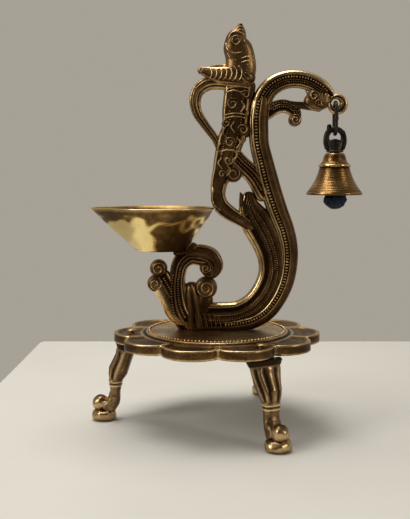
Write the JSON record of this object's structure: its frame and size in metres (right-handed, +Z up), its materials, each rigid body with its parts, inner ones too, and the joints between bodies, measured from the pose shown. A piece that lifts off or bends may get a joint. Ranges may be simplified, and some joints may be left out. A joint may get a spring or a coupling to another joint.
{
  "type": "standing oil lamp",
  "caption": "Brass oil lamp with a bowl on a peacock casting, a bell hanging from its arm, and a petalled plate on three legs.",
  "frame": {"origin": "middle of the lamp's bounding box, on the surface that the three feet stand on", "axes": "+Z up, the spout of the bowl points to -X, the bell hangs on the +X side, -Y is the front"},
  "size_m": [0.136, 0.1138, 0.1981],
  "materials": {
    "antique_brass": "antiqued, dark patina in the recesses, worn bright on the edges",
    "leg_brass": "polished over a dark patina",
    "polished_brass": "polished",
    "bell_brass": "turned and polished",
    "fastener_brass": "satin",
    "dark_iron": "blackened wire",
    "clapper_iron": "rough cast"
  },
  "bodies": {
    "stand": {"base_plate": "antique_brass", "peacock_casting": "antique_brass", "leg_left": "leg_brass", "leg_front_right": "leg_brass", "leg_back_right": "leg_brass", "leg_rivet_left": "fastener_brass", "leg_rivet_front_right": "fastener_brass", "leg_rivet_back_right": "fastener_brass", "base_screw_left": "fastener_brass", "base_screw_right": "fastener_brass", "base_washer_left": "fastener_brass", "base_washer_right": "fastener_brass", "oil_bowl": "polished_brass", "bowl_screw": "fastener_brass", "bowl_washer": "fastener_brass"},
    "link": {"chain_link": "dark_iron"},
    "bell": {"bell_eye": "dark_iron", "bell_dome": "bell_brass", "bell_nut": "dark_iron"},
    "clapper": {"clapper_wire": "dark_iron", "clapper_ball": "clapper_iron"}
  },
  "joints": [
    {"name": "link_swing", "type": "hinge", "parent": "stand", "child": "link", "pos_m": [0.0541, 0, 0.1595], "axis": [0, -1, 0], "range_deg": [-16, 40]},
    {"name": "bell_swing", "type": "hinge", "parent": "link", "child": "bell", "pos_m": [0.0541, 0, 0.14689], "axis": [1, 0, 0], "range_deg": [-35, 35]},
    {"name": "clapper_swing", "type": "hinge", "parent": "bell", "child": "clapper", "pos_m": [0.0541, 0, 0.12924], "axis": [0, -1, 0], "range_deg": [-18, 18]}
  ]
}
